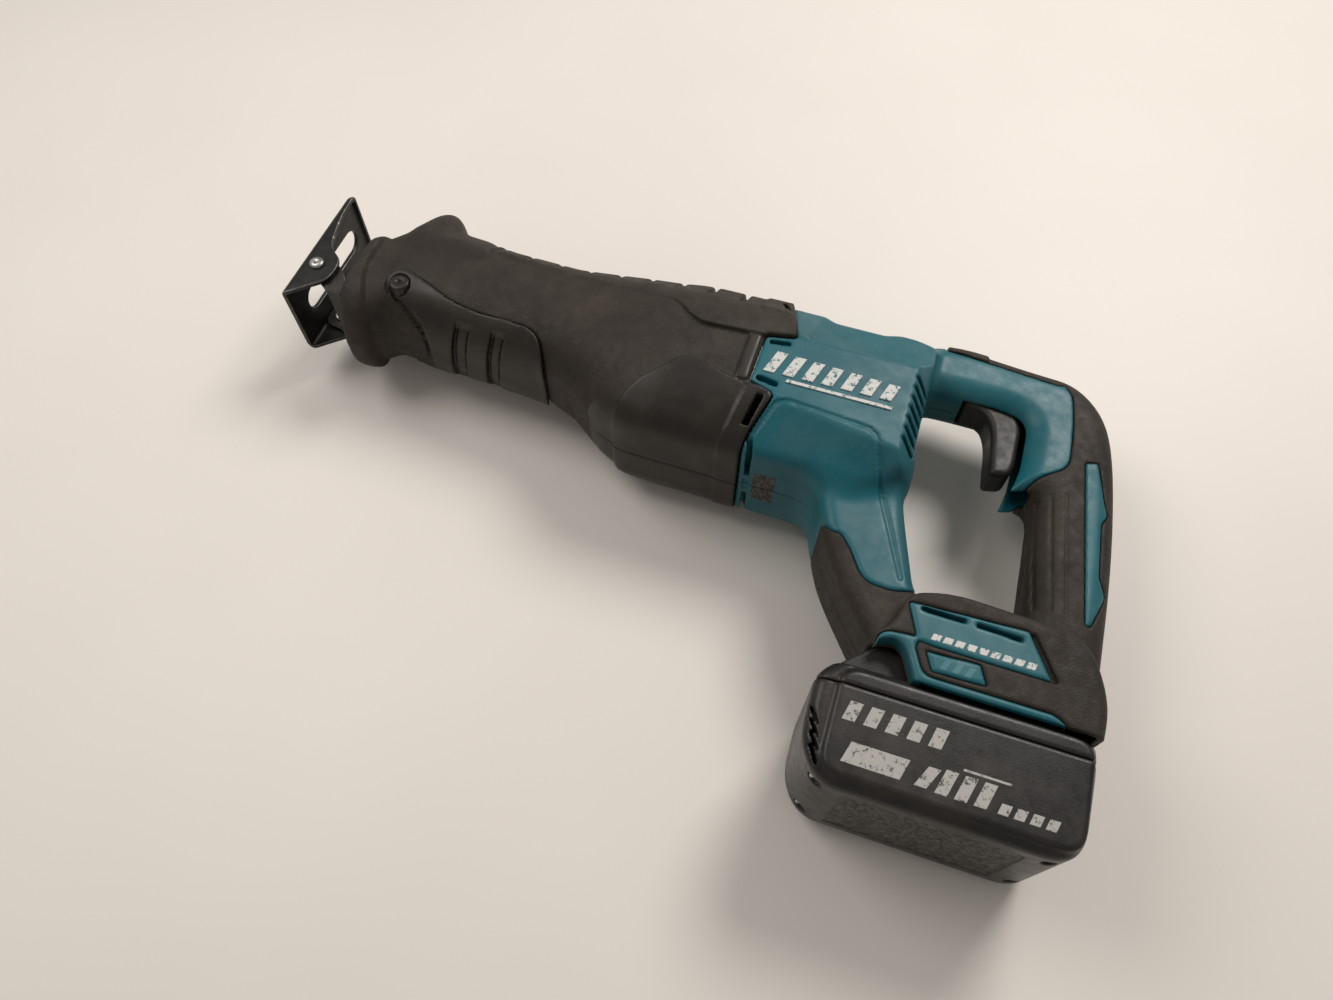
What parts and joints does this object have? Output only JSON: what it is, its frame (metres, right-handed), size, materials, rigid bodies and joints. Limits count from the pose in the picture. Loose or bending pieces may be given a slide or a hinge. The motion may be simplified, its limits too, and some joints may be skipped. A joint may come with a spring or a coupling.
{
  "type": "reciprocating saw",
  "caption": "Cordless reciprocating saw with a pivoting shoe, rubber-booted nose, D-handle with trigger and a slide-on battery pack, laid on its right side.",
  "frame": {"origin": "centre of the tool's outline, on the surface its right side lies on", "axes": "+X from the shoe to the handle, +Y from the battery to the tool's top, +Z to the tool's left side, up"},
  "size_m": [0.4396, 0.254, 0.083],
  "materials": {
    "teal_plastic": "satin moulded plastic, lightly scuffed",
    "rubber": "matte, fine grain, dusty",
    "black_steel": "blackened steel, edges worn bright",
    "steel": "machined",
    "cast_alloy": "die cast",
    "bronze": "sintered",
    "felt": "felt",
    "black_plastic": "satin",
    "battery_plastic": "semi-gloss, scratched",
    "lamination": "stacked laminations",
    "copper": "enamelled wire",
    "circuit_board": "solder resist",
    "cell_wrap": "shrink film",
    "clear_lens": "clear"
  },
  "bodies": {
    "housing": {"boot": "rubber", "gear_housing": "cast_alloy", "gear_housing_cover": "cast_alloy", "dust_seal": "felt", "front_bush": "bronze", "guide_plate": "steel", "crank_bearing": "steel", "stator_core": "lamination", "stator_coils_front": "copper", "stator_coils_rear": "copper", "sensor_board": "circuit_board", "pinion_bearing": "steel", "rear_bearing": "steel", "bearing_box": "cast_alloy", "baffle_plate": "black_plastic", "housing_left": "teal_plastic", "housing_right": "teal_plastic", "grip_left": "rubber", "grip_right": "rubber", "switch_unit": "black_plastic", "controller": "cast_alloy", "terminal_block": "black_plastic", "led_lens": "clear_lens", "housing_screw_1": "steel", "housing_screw_2": "steel", "housing_screw_3": "steel", "housing_screw_4": "steel", "housing_screw_5": "steel", "housing_screw_6": "steel", "housing_screw_7": "steel"},
    "shoe": {"shoe": "black_steel"},
    "shoe_carrier": {"shoe_bracket": "black_steel", "shoe_rivet_left": "steel", "shoe_rivet_right": "steel"},
    "shoe_lock": {"shoe_lock_button": "black_steel"},
    "blade_drive": {"slider": "steel", "clamp_spring": "steel"},
    "clamp_sleeve": {"clamp_sleeve": "black_steel"},
    "crank": {"crank_gear": "steel", "crank_roller": "steel"},
    "rotor": {"rotor_shaft": "steel", "fan": "black_plastic", "rotor_core": "lamination"},
    "trigger": {"trigger": "black_plastic"},
    "lock_off": {"lock_off_button": "black_plastic"},
    "battery": {"battery_top_case": "battery_plastic", "battery_bottom_case": "battery_plastic", "cell_pack": "cell_wrap", "battery_screw_1": "steel", "battery_screw_2": "steel", "battery_screw_3": "steel", "battery_screw_4": "steel"},
    "battery_button": {"battery_button": "teal_plastic"}
  },
  "joints": [
    {"name": "shoe_depth", "type": "slide", "parent": "housing", "child": "shoe_carrier", "axis": [-1, 0, 0], "range_m": [0, 0.03]},
    {"name": "shoe_tilt", "type": "hinge", "parent": "shoe_carrier", "child": "shoe", "pos_m": [-0.20975, 0.057, 0.0415], "axis": [0, 0, 1], "range_deg": [-12, 24]},
    {"name": "shoe_lock_push", "type": "slide", "parent": "housing", "child": "shoe_lock", "axis": [0, 0, 1], "range_m": [0, 0.003]},
    {"name": "blade_stroke", "type": "slide", "parent": "housing", "child": "blade_drive", "axis": [1, 0, 0], "range_m": [-0.016, 0.016]},
    {"name": "clamp_turn", "type": "hinge", "parent": "blade_drive", "child": "clamp_sleeve", "pos_m": [-0.17375, 0.071, 0.0415], "axis": [1, 0, 0], "range_deg": [0, 60], "stiffness_Nm_per_rad": 0.02},
    {"name": "crank_turn", "type": "hinge", "parent": "housing", "child": "crank", "pos_m": [-0.01375, 0.041, 0.0415], "axis": [0, 1, 0], "continuous": true},
    {"name": "motor_turn", "type": "hinge", "parent": "housing", "child": "rotor", "pos_m": [0.06025, 0.054, 0.0415], "axis": [1, 0, 0], "continuous": true},
    {"name": "trigger_pull", "type": "hinge", "parent": "housing", "child": "trigger", "pos_m": [0.16525, 0.091, 0.0415], "axis": [0, 0, 1], "range_deg": [0, 8], "stiffness_Nm_per_rad": 0.4},
    {"name": "lock_off_push", "type": "slide", "parent": "housing", "child": "lock_off", "axis": [0, 0, 1], "range_m": [0, 0.003]},
    {"name": "battery_slide", "type": "slide", "parent": "housing", "child": "battery", "axis": [-1, 0, 0], "range_m": [0, 0.12]},
    {"name": "battery_release", "type": "slide", "parent": "battery", "child": "battery_button", "axis": [0, -1, 0], "range_m": [0, 0.0012], "stiffness_N_per_m": 600}
  ],
  "couplings": [
    {"joint": "motor_turn", "follows": "crank_turn", "ratio": 4}
  ]
}
